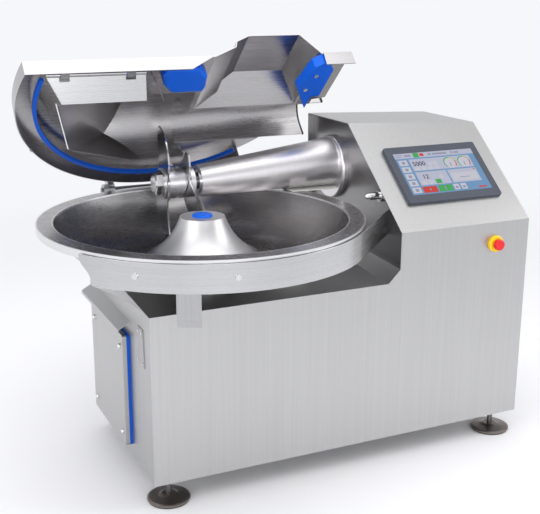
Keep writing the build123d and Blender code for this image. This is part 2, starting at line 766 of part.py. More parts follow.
with BuildPart() as shaft_housing:
    with BuildSketch(side_plane(nose_x, shaft_y, nose_z)):
        Circle(nose_r)
    with BuildSketch(side_plane(flange_x, shaft_y, root_z)):
        Circle(root_r)
    loft()
    with BuildSketch(side_plane(nose_x, shaft_y, shaft_z)):
        Circle(housing_bore_r)
    extrude(amount=flange_x - nose_x, mode=Mode.SUBTRACT)
    # mounting flange against the inner wall
    with BuildSketch(side_plane(flange_x, shaft_y, shaft_z + flange_rise)):
        Circle(flange_r)
    extrude(amount=flange_t)
    fillet(shaft_housing.edges().filter_by(GeomType.CIRCLE).group_by(SortBy.RADIUS)[-1].sort_by(Axis.X)[0],
           flange_t * 0.45)
    with BuildSketch(side_plane(flange_x, shaft_y, shaft_z)):
        Circle(housing_bore_r)
    extrude(amount=flange_t, mode=Mode.SUBTRACT)
save(shaft_housing, "shaft_housing")

with BuildPart() as bearing_sleeve:
    with BuildSketch(side_plane(wall_x + sheet, shaft_y, shaft_z)):
        Circle(rear_sleeve_r)
        Circle(housing_bore_r, mode=Mode.SUBTRACT)
    extrude(amount=rear_sleeve_l)
save(bearing_sleeve, "bearing_sleeve")

front_bearing_x = nose_x + 14
rear_bearing_x = wall_x + sheet + rear_sleeve_l - 36
with BuildPart() as shaft_bearings:
    for start in (front_bearing_x, front_bearing_x + 40, rear_bearing_x):
        with BuildSketch(side_plane(start, shaft_y, shaft_z)):
            Circle(housing_bore_r)
            Circle(shaft_r + running_gap, mode=Mode.SUBTRACT)
        extrude(amount=32)
save(group(spindle_bearings, shaft_bearings), "shaft_bearings")
with BuildPart() as shaft_seal:
    with BuildSketch(side_plane(nose_x - nose_ring_t + 2, shaft_y, shaft_z)):
        Circle(housing_bore_r)
        Circle(shaft_r + running_gap, mode=Mode.SUBTRACT)
    extrude(amount=nose_ring_t + 12 - 2)
save(group(spindle_seal, shaft_seal), "shaft_seals")

with BuildPart() as knife_pulley:
    with BuildSketch(side_plane(pulley_x, shaft_y, shaft_z)):
        Circle(knife_pulley_r)
        Circle(shaft_r, mode=Mode.SUBTRACT)
    extrude(amount=knife_pulley_w)
save(knife_pulley, "knife_pulley")

with BuildPart() as motor_pulley:
    with BuildSketch(side_plane(pulley_x, motor_y, motor_z)):
        Circle(motor_pulley_r)
        Circle(motor_shaft_r, mode=Mode.SUBTRACT)
    extrude(amount=knife_pulley_w)
save(motor_pulley, "motor_pulley")
save(belt_loop(side_plane(pulley_x + 4), (shaft_y, shaft_z), knife_pulley_r, (motor_y, motor_z),
               motor_pulley_r, vee_belt_t, knife_pulley_w - 8), "knife_belts")
with BuildPart() as motor_shaft:
    with BuildSketch(side_plane(pulley_x, motor_y, motor_z)):
        Circle(motor_shaft_r)
    extrude(amount=motor_x + motor_l / 2 - pulley_x)
save(motor_shaft, "motor_shaft")

motor_section = Plane(origin=(0, motor_y, motor_z), x_dir=(1, 0, 0), z_dir=(0, -1, 0))
motor_axis = Axis((0, motor_y, motor_z), (1, 0, 0))
with BuildPart() as knife_motor:
    fin_pitch = motor_l / motor_fins
    spans = [(motor_x, motor_x + motor_l, motor_r)]
    for fin in range(motor_fins):
        fin_x = motor_x + (fin + 0.5) * fin_pitch
        spans.append((fin_x, fin_x + motor_fin_t, motor_fin_r))
    with BuildSketch(motor_section):
        for start, end, outer in spans:
            polygon([(start, 0), (end, 0), (end, outer), (start, outer)])
    revolve(axis=motor_axis)
    with BuildSketch(Plane.XY.offset(underside + bottom_plate_t + motor_base_h)):
        with Locations((motor_x + motor_l / 2, motor_y)):
            Rectangle(motor_l * 0.7, motor_base_w)
    extrude(until=Until.NEXT)
    with BuildSketch(side_plane(motor_x, motor_y, motor_z)):
        Circle(motor_shaft_r + running_gap)
    extrude(amount=motor_l / 2, mode=Mode.SUBTRACT)
save(knife_motor, "knife_motor")
with BuildPart() as motor_rails:
    with BuildSketch(Plane.XY.offset(underside + bottom_plate_t)):
        with Locations((motor_x + motor_l / 2, motor_y)):
            with GridLocations(motor_l * 0.5, 0, 2, 1):
                Rectangle(50, motor_base_w + 90)
    extrude(amount=motor_base_h)
save(group(bottom_plate, motor_rails, gear_stand), "bottom_plate")

# ---------------------------------------------------------------- bowl guard, gusset, spout
guard_out_r = guard_in_r + guard_t
guard_h = guard_top_z - guard_low_z
end_run = guard_in_r * sin(radians(gusset_start - guard_start))


def guard_point(radius, angle):
    """Point on a circle round the bowl's axis, seen from above."""
    return (bowl_x + radius * cos(radians(angle)), bowl_y + radius * sin(radians(angle)))


def wing_end(radius):
    """Where a line leaving the guard's end at a tangent meets the inner wall."""
    start_x, start_y = guard_point(radius, guard_end)
    return (wall_x, start_y + (wall_x - start_x) * tan(radians(90 + guard_end)))


with BuildPart() as bowl_guard:
    with BuildSketch(Plane.XY.offset(guard_low_z)):
        with BuildLine():
            sweep_angle = 360 + guard_end - guard_start
            CenterArc((bowl_x, bowl_y), guard_in_r, guard_start, sweep_angle)
            CenterArc((bowl_x, bowl_y), guard_out_r, guard_start, sweep_angle)
            Line(guard_point(guard_in_r, guard_start), guard_point(guard_out_r, guard_start))
            Polyline(guard_point(guard_in_r, guard_end), wing_end(guard_in_r), wing_end(guard_out_r),
                     guard_point(guard_out_r, guard_end))
        make_face()
    extrude(amount=guard_top_z - guard_low_z)
    # left end rounded down to the gusset
    end_turn = radians(guard_start)
    with BuildSketch(Plane(origin=(bowl_x, bowl_y, guard_low_z),
                           x_dir=(-sin(end_turn), cos(end_turn), 0),
                           z_dir=(cos(end_turn), sin(end_turn), 0))):
        with BuildLine():
            Polyline((end_run, 0), (end_run, -sheet), (-end_run, -sheet), (-end_run, guard_h), (0, guard_h))
            Bezier((0, guard_h), (0, guard_h / 2), (end_run, guard_h * 0.6), (end_run, 0))
        make_face()
    extrude(amount=guard_out_r + sheet, mode=Mode.SUBTRACT)
save(bowl_guard, "bowl_guard")

with BuildPart() as guard_bolts:
    for angle in guard_bolt_angles:
        turn = radians(angle)
        with BuildSketch(Plane(origin=(*guard_point(guard_out_r, angle), guard_bolt_z),
                               x_dir=(0, 0, 1), z_dir=(cos(turn), sin(turn), 0))):
            Circle(guard_bolt_r)
        extrude(amount=guard_bolt_h)

gusset_back_y = front + 140
gusset_low = Edge.make_line((left, front, tray_front_z),
                            (left, gusset_back_y, tray_front_z + tray_rise * 140 / cabinet_d))
gusset_high = Edge.make_three_point_arc(
    *[(*guard_point(guard_in_r + guard_t / 2, angle), guard_low_z)
      for angle in (gusset_end, (gusset_end + gusset_start) / 2, gusset_start)])
gusset_sheet = Face.make_surface_from_curves(gusset_low, gusset_high)
with BuildPart() as gusset:
    thicken(gusset_sheet, amount=-2)
save(gusset, "left_gusset")

spout_angle = -115.2
spout_w = 73
spout_h = 78
spout_depth = 70
spout_lip = 30              # lip's length down its slope
spout_lip_turn = 24         # degrees, the lip leans in under the guard
spout_turn = radians(spout_angle)
spout_plane = Plane(origin=(*guard_point(guard_out_r, spout_angle), guard_low_z),
                    x_dir=(-sin(spout_turn), cos(spout_turn), 0), z_dir=(0, 0, -1))
lip_lean = radians(spout_lip_turn)
spout_side = Plane(origin=spout_plane.from_local_coords((-spout_w / 2, 0, 0)),
                   x_dir=(-cos(spout_turn), -sin(spout_turn), 0), z_dir=spout_plane.x_dir)
with BuildPart() as drain_spout:
    # front strap with its lip bent inwards
    with BuildSketch(spout_side):
        with BuildLine():
            strap = Polyline((0, 0), (0, -spout_h),
                             (spout_lip * sin(lip_lean), -spout_h - spout_lip * cos(lip_lean)))
            offset(amount=guard_t, side=Side.LEFT)
        make_face()
    extrude(amount=spout_w)
    # side strap that holds it to the guard
    with BuildSketch(spout_side):
        polygon([(0, 0), (spout_depth, 0), (spout_depth, -spout_h / 2), (guard_t, -spout_h)])
    extrude(amount=guard_t)
save(drain_spout, "drain_spout")

# ---------------------------------------------------------------- lid
lid_turn = radians(lid_open)
arm_y = bowl_y - hinge_y
arm_z = rim_z - hinge_z
lid_origin = Vector(bowl_x, hinge_y + arm_y * cos(lid_turn) + arm_z * sin(lid_turn),
                    hinge_z - arm_y * sin(lid_turn) + arm_z * cos(lid_turn))
lid_back_dir = Vector(0, cos(lid_turn), -sin(lid_turn))
lid_up_dir = Vector(0, sin(lid_turn), cos(lid_turn))
lid_local_hinge_y = hinge_y - bowl_y
lid_local_hinge_z = hinge_z - rim_z
lid_local_shaft_y = shaft_y - bowl_y
lid_local_shaft_z = shaft_z - rim_z


def lid_point(x, y, z):
    """Point given from the bowl's axis and rim as if the lid were shut."""
    return lid_origin + Vector(1, 0, 0) * x + lid_back_dir * y + lid_up_dir * z


def lid_flat(z):
    """Plane parallel to the rim when the lid is shut."""
    return Plane(origin=lid_point(0, 0, z), x_dir=(1, 0, 0), z_dir=lid_up_dir)


def lid_front(y):
    """Upright plane across the lid: sketch y is the lid's height."""
    return Plane(origin=lid_point(0, y, 0), x_dir=(1, 0, 0), z_dir=-lid_back_dir)


def lid_side(x):
    """Upright plane along the lid: sketch x runs to the back, sketch y is the lid's height."""
    return Plane(origin=lid_point(x, 0, 0), x_dir=lid_back_dir, z_dir=(1, 0, 0))


def lid_axis(y, z):
    """Line along X, given on the shut lid."""
    return Axis(lid_point(0, y, z), (1, 0, 0))


def arc_band(inner, outer, start, end):
    """Flat strip between two arcs about the sketch's origin."""
    with BuildSketch() as band:
        with BuildLine():
            CenterArc((0, 0), inner, start, end - start)
            CenterArc((0, 0), outer, start, end - start)
            Line(polar(inner, start), polar(outer, start))
            Line(polar(inner, end), polar(outer, end))
        make_face()
    return band.sketch


plate_low = lid_h - sheet
lid_start_angle = 180 + degrees(atan2(-lid_front_y, sqrt(lid_r ** 2 - lid_front_y ** 2)))
mouth_left = 87
mouth_right = 505
mouth_top = 137
mouth_fold_y = 65
mouth_outline = [(mouth_left, plate_low), (180, 90), (189, 113), (242, mouth_top),
                 (mouth_right - 66, mouth_top), (mouth_right, lid_h - 7), (mouth_right, plate_low)]
cover_r = 102
cover_far_r = 108           # at the console's end
cover_shift = 5             # the far end stands forward, to clear the housing as the lid swings
mouth_back_y = lid_local_shaft_y - cover_far_r - cover_shift - 1
cover_start = 75
cover_end = 618
cover_rise = 34             # the cover climbs with the housing under it
knife_hood_r = 220
hood_left_run = 470         # hood's reach to the left before its flat faces are cut
seal_lap = 4                # seal inside and outside the cover's edge
cover_seal_t = 6
ridge = (-167, 473, 171)
hood_left_front = (-420, 92, plate_low)
hood_left_back = (-335, 387, plate_low)
hood_back = (-84, 483, plate_low)
hood_front_y = lid_local_shaft_y - sqrt(knife_hood_r ** 2 - (plate_low - lid_local_shaft_z) ** 2)


with BuildPart() as lid:
    with BuildSketch(lid_flat(plate_low)):
        Circle(lid_r)
        polygon([(300, lid_front_y), (lid_front_right, lid_front_y), (lid_front_right, wing_back_y),
                 (wing_corner_x, wing_back_y + 9), (wing_corner_x, 200), (300, 200)])
        with Locations((0, lid_front_y - lid_r / 2)):
            Rectangle(3 * lid_r, lid_r, mode=Mode.SUBTRACT)
        # feed mouth
        polygon([(mouth_left, lid_front_y), (mouth_right, lid_front_y), (mouth_right, mouth_back_y),
                 (mouth_left, mouth_back_y)], Mode.SUBTRACT)
        # knife hood
        polygon([(cover_start, hood_front_y), (-280, hood_front_y), hood_left_front[:2],
                 hood_left_back[:2], hood_back[:2], (cover_start, 482)], Mode.SUBTRACT)
        # shaft cover
        polygon([(cover_start - 1, lid_local_shaft_y - cover_r),
                 (cover_end, lid_local_shaft_y - cover_shift - cover_far_r),
                 (cover_end, lid_local_shaft_y - cover_shift + cover_far_r),
                 (cover_start - 1, lid_local_shaft_y + cover_r)], Mode.SUBTRACT)
    extrude(amount=sheet)
    with BuildSketch(lid_flat(0)):
        add(arc_band(lid_r - sheet, lid_r, gasket_start, lid_start_angle + 1))
        with Locations((0, lid_front_y - sheet - lid_r / 2)):
            Rectangle(3 * lid_r, lid_r, mode=Mode.SUBTRACT)
    extrude(amount=plate_low)
    with BuildSketch(lid_flat(ring_wall_low)):
        add(arc_band(ring_wall_r, ring_wall_r + sheet, gasket_start, gasket_end))
    extrude(amount=plate_low - ring_wall_low)
    # front plate with the mouth cut out of it
    front_left = -sqrt(lid_r ** 2 - lid_front_y ** 2)
    with BuildSketch(lid_front(lid_front_y)):
        polygon([(front_left, 0), (lid_front_right, 0), (lid_front_right, lid_h), (front_left, lid_h)])
        polygon([(-8, -sheet), (mouth_right - 4, -sheet), (mouth_right, lid_h - 7),
                 (mouth_right, lid_h), (mouth_left, lid_h), (mouth_left, plate_low)], Mode.SUBTRACT)
    extrude(amount=sheet)
    # stiffening fin and left deflector under the plate
    with BuildSketch(lid_flat(plate_low)):
        polygon([(-136, -102), (-133, -103), (-53, 54), (-56, 55)])
        polygon([(-497, 1), (-494, 0), (-424, 140), (-427, 141)])
    extrude(amount=-36)
save(lid, "lid_shell")

with BuildPart() as feed_hood:
    with BuildSketch(lid_front(lid_front_y)):
        polygon(mouth_outline)
    extrude(amount=-(mouth_back_y - lid_front_y))
    with BuildSketch(lid_side(0)):
        polygon([(lid_front_y, plate_low), (lid_front_y, mouth_top + 1), (mouth_fold_y, mouth_top + 1),
                 (mouth_back_y, lid_h), (mouth_back_y, plate_low)])
    extrude(amount=lid_r, mode=Mode.INTERSECT)
    hood_faces = feed_hood.faces()
    offset(amount=-sheet, openings=[hood_faces.sort_by(Axis((0, 0, 0), lid_up_dir))[0],
                                    hood_faces.sort_by(Axis((0, 0, 0), lid_back_dir))[0]])
save(feed_hood, "feed_hood")


def local_plane(first, second, third):
    """Plane through three points given on the shut lid, facing away from the knives."""
    a = lid_point(*first)
    b = lid_point(*second)
    c = lid_point(*third)
    normal = (b - a).cross(c - a).normalized()
    if normal.dot(lid_point(0, lid_local_shaft_y, lid_local_shaft_z) - a) > 0:
        normal = normal * -1
    return Plane(origin=a, z_dir=normal)


def hood_form(shrink):
    """Drum round the knives with two flat faces at its left, smaller all round by a sheet."""
    with BuildPart() as form:
        with BuildSketch(lid_side(shrink - hood_left_run)):
            with Locations((lid_local_shaft_y, lid_local_shaft_z)):
                Circle(knife_hood_r + sheet - shrink)
        extrude(amount=hood_left_run + cover_start - 2 * shrink)
        split(bisect_by=lid_flat(lid_h - shrink), keep=Keep.TOP)
        for low_corner, high_corner in ((hood_left_front, hood_left_back), (hood_left_back, hood_back)):
            split(bisect_by=local_plane(low_corner, high_corner, ridge).offset(-shrink), keep=Keep.BOTTOM)
    return form.part


with BuildPart() as knife_hood:
    add(hood_form(0))
    add(hood_form(sheet), mode=Mode.SUBTRACT)
    # the shaft and its cover come in through the end wall
    with BuildSketch(lid_side(cover_start - 2 * sheet)):
        with Locations((lid_local_shaft_y, lid_local_shaft_z)):
            Circle(cover_r - sheet)
            with Locations((0, -cover_r)):
                Rectangle(2 * (cover_r - sheet), 2 * cover_r)
    extrude(amount=3 * sheet, mode=Mode.SUBTRACT)
save(knife_hood, "knife_hood")


def cover_section(x, y, z, radius):
    """Arch across the shaft: a half circle on straight sides."""
    with BuildSketch(lid_side(x)) as section:
        with Locations((y, z)):
            Circle(radius)
            with Locations((0, -cover_r)):
                Rectangle(2 * radius, 2 * cover_r)
    return section.sketch.faces()[0]


cover_far_y = lid_local_shaft_y - cover_shift
cover_far_z = lid_local_shaft_z + cover_rise
with BuildPart() as shaft_cover:
    for shrink, mode in ((0, Mode.ADD), (sheet, Mode.SUBTRACT)):
        near_end = cover_section(cover_start, lid_local_shaft_y, lid_local_shaft_z, cover_r - shrink)
        far_end = cover_section(cover_end, cover_far_y, cover_far_z, cover_far_r - shrink)
        loft(sections=[near_end, far_end], mode=mode)
    split(bisect_by=lid_flat(lid_h), keep=Keep.TOP)
save(shaft_cover, "shaft_cover")

with BuildPart() as cover_seal:
    for grow, mode in ((seal_lap, Mode.ADD), (-seal_lap, Mode.SUBTRACT)):
        extrude(cover_section(cover_end, cover_far_y, cover_far_z, cover_far_r + grow),
                amount=cover_seal_t, mode=mode)
    split(bisect_by=lid_flat(lid_h), keep=Keep.TOP)
save(cover_seal, "shaft_cover_seal")

with BuildPart() as lid_gasket:
    with BuildSketch(lid_flat(gasket_lift)):
        add(arc_band(ring_wall_r + (sheet - gasket_w) / 2, ring_wall_r + (sheet + gasket_w) / 2,
                     gasket_start, gasket_end))
    extrude(amount=gasket_h)
    with BuildSketch(lid_flat(ring_wall_low)):
        add(arc_band(ring_wall_r, ring_wall_r + sheet, gasket_start, gasket_end))
    extrude(amount=gasket_h, mode=Mode.SUBTRACT)
save(lid_gasket, "lid_gasket")

block_t = 34
with BuildPart() as hub_block:
    with BuildSketch(lid_flat(plate_low)):
        polygon([(-72, -110), (37, -110), (76, -64), (86, -3), (81, 20), (-36, 20), (-72, -25), (-84, -72)])
    extrude(amount=-block_t)
    chamfer(hub_block.faces().sort_by(Axis((0, 0, 0), lid_up_dir))[0].edges(), 9)
save(hub_block, "hub_scraper_block")

with BuildPart() as wall_block:
    with BuildSketch(lid_flat(plate_low)):
        polygon([(469, -108), (496, -128), (519, -128), (550, -90), (551, 65), (519, 67), (518, 139), (450, 25)])
    extrude(amount=-(plate_low - 8))
save(wall_block, "rim_scraper_block")
with BuildPart() as block_screws:
    with BuildSketch(lid_flat(8)):
        with Locations((492, -60), (478, 20)):
            Circle(8)
    extrude(amount=-4)
save(block_screws, "scraper_block_screws")

# ---------------------------------------------------------------- splash flap
rod_y = -108
rod_z = 15
rod_r = 5
flap_left = -485
flap_right = -155
flap_h = 93
flap_cut = 47
hinge_blocks = (-425, -206)
hinge_block_w = 26
bush_r = 8
rod_point = lid_point(0, rod_y, rod_z)
flap_x = bowl_x
with BuildPart() as flap:
    with BuildSketch(front_plane(rod_point.Y + sheet / 2)):
        low = rod_point.Z - flap_h
        polygon([(flap_x + flap_left, rod_point.Z), (flap_x + flap_left + flap_cut, low),
                 (flap_x + flap_right, low), (flap_x + flap_right, rod_point.Z)])
        for block in hinge_blocks:
            with Locations((flap_x + block, rod_point.Z)):
                Rectangle(hinge_block_w + 8, 44, mode=Mode.SUBTRACT)
    extrude(amount=sheet)
    rod_plane = side_plane(flap_x + flap_left, rod_point.Y, rod_point.Z)
    with BuildSketch(rod_plane):
        Circle(bush_r)
    extrude(amount=flap_right - flap_left)
    for block in hinge_blocks:
        with BuildSketch(side_plane(flap_x + block - hinge_block_w / 2 - 4, rod_point.Y, rod_point.Z)):
            Circle(bush_r + 2)
        extrude(amount=hinge_block_w + 8, mode=Mode.SUBTRACT)
    with BuildSketch(rod_plane):
        Circle(rod_r)
    extrude(amount=flap_right - flap_left)
save(flap, "splash_flap")
with BuildPart() as flap_blocks:
    for block in hinge_blocks:
        with BuildSketch(lid_side(block - hinge_block_w / 2)):
            polygon([(lid_front_y, 4), (rod_y + 14, 4), (rod_y + 14, 29), (lid_front_y, 29)])
            with Locations((rod_y, rod_z)):
                Circle(bush_r, mode=Mode.SUBTRACT)
        extrude(amount=hinge_block_w)
save(flap_blocks, "flap_hinge_blocks")
with BuildPart() as flap_bushes:
    for block in hinge_blocks:
        with BuildSketch(lid_side(block - hinge_block_w / 2)):
            with Locations((rod_y, rod_z)):
                Circle(bush_r)
                Circle(rod_r + running_gap, mode=Mode.SUBTRACT)
        extrude(amount=hinge_block_w)
save(flap_bushes, "flap_bushes")

# ---------------------------------------------------------------- lid hinge
hinge_pin_r = 12
hinge_bush_t = 3
arm_x = 150
arm_w = 24
arm_barrel_r = 22
arm_root_y = 470            # where the arms start on the lid's plate
upright_w = 20
hinge_side_gap = 0.5
bracket_t = 10
bracket_low = 520
bracket_high = 700
with BuildPart() as lid_arms:
    for side in (-arm_x, arm_x):
        with BuildSketch(lid_side(side - arm_w / 2)):
            polygon([(arm_root_y, lid_h), (arm_root_y + 20, lid_h + 16), (lid_local_hinge_y + 16, lid_h + 16),
                     (lid_local_hinge_y + arm_barrel_r - 2, lid_local_hinge_z),
                     (lid_local_hinge_y - arm_barrel_r + 2, lid_local_hinge_z),
                     (lid_local_hinge_y - 16, lid_h)])
            with Locations((lid_local_hinge_y, lid_local_hinge_z)):
                Circle(arm_barrel_r)
                Circle(hinge_pin_r + hinge_bush_t, mode=Mode.SUBTRACT)
        extrude(amount=arm_w)
save(lid_arms, "lid_arms")
with BuildPart() as hinge_bushes:
    for side in (-arm_x, arm_x):
        with BuildSketch(side_plane(bowl_x + side - arm_w / 2, hinge_y, hinge_z)):
            Circle(hinge_pin_r + hinge_bush_t)
            Circle(hinge_pin_r + running_gap, mode=Mode.SUBTRACT)
        extrude(amount=arm_w)
save(hinge_bushes, "hinge_bushes")
pin_reach = arm_x + arm_w / 2 + hinge_side_gap + upright_w + 6
with BuildPart() as hinge_pin:
    with BuildSketch(side_plane(bowl_x - pin_reach, hinge_y, hinge_z)):
        Circle(hinge_pin_r)
    extrude(amount=2 * pin_reach)
save(hinge_pin, "lid_hinge_pin")
with BuildPart() as hinge_bracket:
    with BuildSketch(front_plane(back)):
        with Locations((bowl_x, (bracket_low + bracket_high) / 2)):
            Rectangle(2 * pin_reach + 40, bracket_high - bracket_low)
    extrude(amount=-bracket_t)
    for start in (bowl_x - pin_reach + 6, bowl_x + pin_reach - 6 - upright_w):
        with BuildSketch(side_plane(start)):
            polygon([(back + bracket_t, bracket_low + 20), (back + bracket_t, bracket_high - 5),
                     (hinge_y - 27, hinge_z - 70), (hinge_y - 24, hinge_z), (hinge_y + 24, hinge_z),
                     (hinge_y + 24, hinge_z - 100), (back + 60, bracket_low + 20)])
            with Locations((hinge_y, hinge_z)):
                Circle(24)
                Circle(hinge_pin_r, mode=Mode.SUBTRACT)
        extrude(amount=upright_w)
save(hinge_bracket, "hinge_bracket")
with BuildPart() as bracket_bolts:
    with BuildSketch(front_plane(back + bracket_t)):
        with Locations((bowl_x, (bracket_low + bracket_high) / 2)):
            with GridLocations(2 * pin_reach - 80, bracket_high - bracket_low - 60, 3, 2):
                RegularPolygon(10, 6)
    extrude(amount=-8)
save(group(bracket_bolts, housing_bolts), "hex_bolts")
save(group(hatch_nuts, side_plate_screws, rear_cover_screws, guard_bolts), "button_screws")

with BuildPart() as rim_wiper:
    with BuildSketch(Plane.XY.offset(rim_z + 1.5)):
        polygon([(bowl_x + 450, shaft_y - 62), (flange_x, shaft_y - 78), (flange_x, shaft_y + 78),
                 (bowl_x + 450, shaft_y + 30)])
    extrude(amount=housing_clear - 1.5)
save(rim_wiper, "rim_wiper")

# ---------------------------------------------------------------- lid buffer
buffer_angle = 146          # degrees round the lid
buffer_r = 9
buffer_l = 12
buffer_x, buffer_y = polar(lid_r, buffer_angle)
buffer_spot = lid_point(buffer_x, buffer_y, lid_h / 2)
buffer_out = (buffer_spot - lid_point(0, 0, lid_h / 2)).normalized()
with BuildPart() as lid_buffer:
    with BuildSketch(Plane(origin=buffer_spot, z_dir=buffer_out)):
        Circle(buffer_r)
    extrude(amount=buffer_l)
save(lid_buffer, "lid_buffer")
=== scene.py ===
"""Finish, screen and studio for the meat bowl cutter.  Metres, +Z up, in the CAD frame."""
import math

import bpy
import numpy as np
from mathutils import Matrix, Vector


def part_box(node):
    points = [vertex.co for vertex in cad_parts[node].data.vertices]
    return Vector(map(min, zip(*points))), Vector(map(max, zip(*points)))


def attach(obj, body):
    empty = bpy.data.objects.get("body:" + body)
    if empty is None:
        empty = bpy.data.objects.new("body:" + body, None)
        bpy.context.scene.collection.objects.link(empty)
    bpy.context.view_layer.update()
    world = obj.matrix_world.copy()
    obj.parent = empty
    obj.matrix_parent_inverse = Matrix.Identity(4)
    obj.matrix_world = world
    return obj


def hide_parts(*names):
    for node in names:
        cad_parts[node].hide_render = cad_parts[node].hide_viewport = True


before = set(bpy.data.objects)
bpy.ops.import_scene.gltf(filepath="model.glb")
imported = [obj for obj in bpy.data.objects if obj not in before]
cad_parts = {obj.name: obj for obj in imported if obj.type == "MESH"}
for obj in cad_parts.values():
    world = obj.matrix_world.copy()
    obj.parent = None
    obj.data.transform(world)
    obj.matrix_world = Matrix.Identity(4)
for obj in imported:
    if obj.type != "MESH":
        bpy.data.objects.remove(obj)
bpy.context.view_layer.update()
MM = 0.001


# ---------------------------------------------------------------- colour and node helpers
def linear(hex_code):
    """sRGB hex, such as 'c8c8c8', as a linear RGBA tuple."""
    channels = [int(hex_code[i:i + 2], 16) / 255 for i in (0, 2, 4)]
    plain = [c / 12.92 if c <= 0.04045 else ((c + 0.055) / 1.055) ** 2.4 for c in channels]
    return (*plain, 1.0)


def add_node(tree, kind, links=(), values=(), **settings):
    """Add one node, set its properties and socket values, and link its inputs."""
    node = tree.nodes.new(kind)
    for key, value in settings.items():
        setattr(node, key, value)
    for socket, value in dict(values).items():
        node.inputs[socket].default_value = value
    for socket, source in dict(links).items():
        tree.links.new(source, node.inputs[socket])
    return node


def new_material(name, colour, metallic=0.0, roughness=0.5, **values):
    """Material with one Principled shader and plain values on its sockets."""
    material = bpy.data.materials.new(name)
    material.use_nodes = True
    shader = material.node_tree.nodes["Principled BSDF"]
    shader.inputs["Base Color"].default_value = linear(colour)
    shader.inputs["Metallic"].default_value = metallic
    shader.inputs["Roughness"].default_value = roughness
    for socket, value in values.items():
        shader.inputs[socket.replace("_", " ")].default_value = value
    return material, material.node_tree, shader


def object_place(tree):
    """Socket with the point in the object's own metres."""
    return add_node(tree, "ShaderNodeTexCoord").outputs["Object"]


def grain_noise(tree, place, size, detail=3.0):
    """Noise stretched to a grain of the given size along X, Y and Z in metres."""
    lines = add_node(tree, "ShaderNodeMapping", {"Vector": place},
                     {"Scale": [1 / length for length in size]})
    noise = add_node(tree, "ShaderNodeTexNoise", {"Vector": lines.outputs[0]},
                     {"Scale": 1.0, "Detail": detail, "Roughness": 0.6})
    return noise.outputs["Fac"]


def spread(tree, value, low, high):
    """Map a noise, most of which lies between 0.3 and 0.7, onto the range from low to high."""
    mapped = add_node(tree, "ShaderNodeMapRange", {"Value": value},
                      {"From Min": 0.3, "From Max": 0.7, "To Min": low, "To Max": high})
    return mapped.outputs[0]


def tinted(tree, shader, colour, shade):
    """Multiply the base colour by a shade that varies over the surface."""
    mix = add_node(tree, "ShaderNodeMix", {7: shade}, {0: 1.0, 6: linear(colour)},
                   data_type="RGBA", blend_type="MULTIPLY")
    tree.links.new(mix.outputs[2], shader.inputs["Base Color"])


def relief(tree, shader, height, depth):
    """Bump of the given depth in metres."""
    bump = add_node(tree, "ShaderNodeBump", {"Height": height},
                    {"Strength": 1.0, "Distance": depth})
    tree.links.new(bump.outputs[0], shader.inputs["Normal"])


def brushed(name, colour, roughness, grain, contrast=0.05, mottle=0.05, depth=0.00001):
    """Stainless steel ground with a belt: hair lines along the grain over faint broad streaks.

    grain is the size of a scratch along X, Y and Z in metres.
    """
    material, tree, shader = new_material(name, colour, 1.0, roughness)
    place = object_place(tree)
    scratch = grain_noise(tree, place, grain)
    broad = grain_noise(tree, place, [6 * length for length in grain], 2.0)
    tree.links.new(spread(tree, scratch, roughness - contrast, roughness + contrast),
                   shader.inputs["Roughness"])
    tinted(tree, shader, colour, spread(tree, broad, 1 - mottle, 1 + mottle))
    relief(tree, shader, scratch, depth)
    return material


def moulded(name, colour, roughness, pebble, depth=0.00002, **values):
    """Plastic or rubber from a mould: even colour, faint clouding and a fine pebbled skin."""
    material, tree, shader = new_material(name, colour, 0.0, roughness, **values)
    place = object_place(tree)
    skin = grain_noise(tree, place, (pebble, pebble, pebble))
    cloud = grain_noise(tree, place, (0.05, 0.05, 0.05), 2.0)
    tree.links.new(spread(tree, cloud, roughness - 0.06, roughness + 0.06),
                   shader.inputs["Roughness"])
    tinted(tree, shader, colour, spread(tree, cloud, 0.94, 1.04))
    relief(tree, shader, skin, depth)
    return material


def zone(tree, shader, mask, colour, roughness):
    """Blend in another colour and roughness where the mask is 1, over what already feeds the shader.
    """
    for socket, value, kind, slots in (("Base Color", linear(colour), "RGBA", (0, 6, 7, 2)),
                                       ("Roughness", roughness, "FLOAT", (0, 2, 3, 0))):
        source = shader.inputs[socket].links[0].from_socket
        mix = add_node(tree, "ShaderNodeMix", {slots[0]: mask, slots[1]: source}, {slots[2]: value},
                       data_type=kind)
        tree.links.new(mix.outputs[slots[3]], shader.inputs[socket])


# ---------------------------------------------------------------- materials
HAIR = 0.0012               # hair line's width, drawn coarser than the real 0.1 mm so that it shows
HAIR_RUN = 0.12
UPRIGHT = (HAIR, HAIR, HAIR_RUN)
LEVEL = (HAIR_RUN, HAIR_RUN, HAIR)
ALONG_Y = (HAIR, HAIR_RUN, HAIR)
FINE_ALONG_X = (0.15, 0.0006, 0.0006)
AROUND_BOWL = (0.04, 0.04, 0.0008)
AROUND_SHAFT = (0.0008, 0.03, 0.03)
BROAD_AROUND_SHAFT = (0.002, 0.05, 0.05)
UM = 0.000001               # reliefs are a few tenths of a micrometre to a few

# belt-ground cabinet sheet: pale grey, long soft upright streaks
cabinet_steel = brushed("ground_stainless_cabinet", "bcbcbc", 0.36, UPRIGHT, 0.04, 0.03)
# the same sheet, folded with its grain level
level_steel = brushed("ground_stainless_level", "c6c6c7", 0.26, LEVEL, 0.03, 0.03, UM)
# lid sheet, ground finer: soft reflections with faint long streaks
lid_steel = brushed("fine_ground_stainless_lid", "b6b4b5", 0.27, FINE_ALONG_X, 0.03, 0.03, 0.2 * UM)
# spun and turned bowl: fine rings, deep soft reflections; its colour is darker than the cabinet's
# steel, painted shade for the dark lid and walls that it reflects
bowl_steel_painted_shade = brushed("turned_stainless_bowl_painted_shade", "a8a6a6", 0.26, AROUND_BOWL, 0.03, 0.03, UM)
